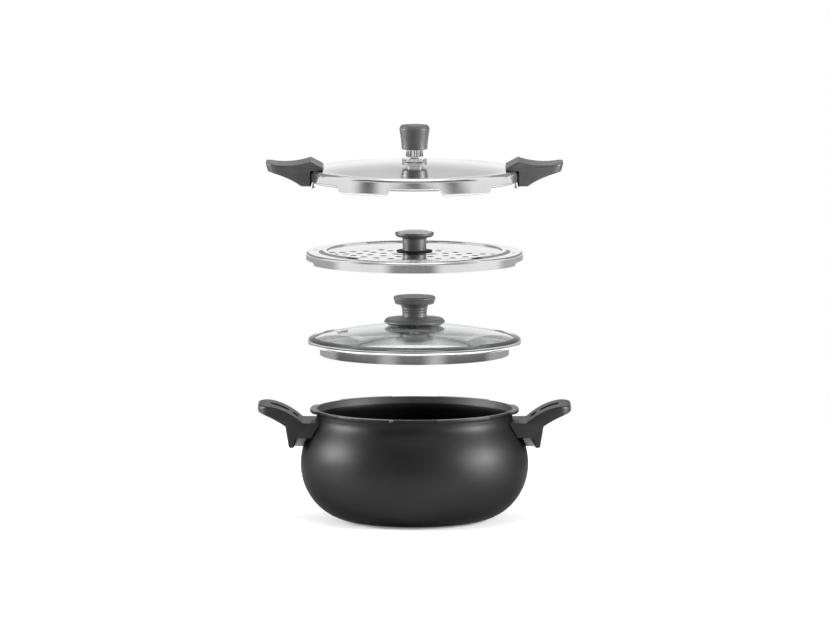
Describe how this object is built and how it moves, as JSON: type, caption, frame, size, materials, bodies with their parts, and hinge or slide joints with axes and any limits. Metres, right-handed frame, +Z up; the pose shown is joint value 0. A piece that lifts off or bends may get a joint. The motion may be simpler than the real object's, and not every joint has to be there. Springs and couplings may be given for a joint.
{
  "type": "pressure cooker",
  "caption": "Handi-shaped pressure cooker with side handles and interchangeable glass, strainer and bayonet pressure lids stacked above the open pot, with a weight valve on top.",
  "frame": {"origin": "centre of the pot's flat base, on the surface it stands on", "axes": "+Z up along the axis of the pot and its lids, +X along the right-hand handles, -Y towards the viewer of the picture"},
  "size_m": [0.313, 0.228, 0.3972],
  "materials": {
    "pot_coating": "dark hard-anodised aluminium, satin",
    "handle_plastic": "moulded, fine matt grain",
    "knob_plastic": "moulded dark grey, satin",
    "pale_cap": "pale grey, glossy",
    "polished_steel": "mirror-polished stainless steel",
    "bracket_metal": "plain pressed metal",
    "fastener_steel": "bright zinc-plated steel",
    "lid_glass": "clear toughened glass",
    "gasket_rubber": "black nitrile rubber",
    "washer_silicone": "milky silicone",
    "weight_chrome": "bright chrome plate",
    "valve_brass": "turned brass"
  },
  "bodies": {
    "pot": {"pot_body": "pot_coating", "pot_handle_right": "handle_plastic", "pot_handle_left": "handle_plastic", "pot_bracket_right": "bracket_metal", "pot_bracket_left": "bracket_metal", "pot_handle_screw_right": "fastener_steel", "pot_handle_screw_left": "fastener_steel"},
    "glass_lid": {"glass_dome": "lid_glass", "glass_rim": "polished_steel", "glass_vent_eyelet": "polished_steel", "glass_knob_collar": "knob_plastic", "glass_knob": "knob_plastic", "glass_knob_washer": "washer_silicone", "glass_knob_screw": "fastener_steel"},
    "strainer_lid": {"strainer_plate": "polished_steel", "strainer_rim": "polished_steel", "strainer_knob": "knob_plastic", "strainer_knob_cap": "pale_cap", "strainer_knob_washer": "fastener_steel", "strainer_knob_screw": "fastener_steel"},
    "gasket": {"lid_gasket": "gasket_rubber"},
    "pressure_lid": {"lid_shell": "polished_steel", "lid_handle_right": "knob_plastic", "lid_handle_left": "knob_plastic", "lid_handle_strap_right": "bracket_metal", "lid_handle_strap_left": "bracket_metal", "lid_handle_screw_right": "fastener_steel", "lid_handle_screw_left": "fastener_steel", "vent_pipe": "polished_steel", "vent_nut": "fastener_steel", "safety_valve": "valve_brass", "safety_plug": "fastener_steel", "safety_valve_nut": "valve_brass"},
    "weight": {"weight_core": "weight_chrome", "weight_cap": "knob_plastic"}
  },
  "joints": [
    {"name": "glass_lid_lift", "type": "slide", "parent": "pot", "child": "glass_lid", "axis": [0, 0, 1], "range_m": [-0.064, 0]},
    {"name": "strainer_lid_lift", "type": "slide", "parent": "glass_lid", "child": "strainer_lid", "axis": [0, 0, 1], "range_m": [-0.038, 0]},
    {"name": "pressure_lid_lift", "type": "slide", "parent": "strainer_lid", "child": "gasket", "axis": [0, 0, 1], "range_m": [-0.0585, 0]},
    {"name": "pressure_lid_turn", "type": "hinge", "parent": "gasket", "child": "pressure_lid", "pos_m": [0, 0, 0.35], "axis": [0, 0, 1], "range_deg": [0, 30]},
    {"name": "weight_lift", "type": "slide", "parent": "pressure_lid", "child": "weight", "axis": [0, 0, 1], "range_m": [0, 0.008]}
  ]
}
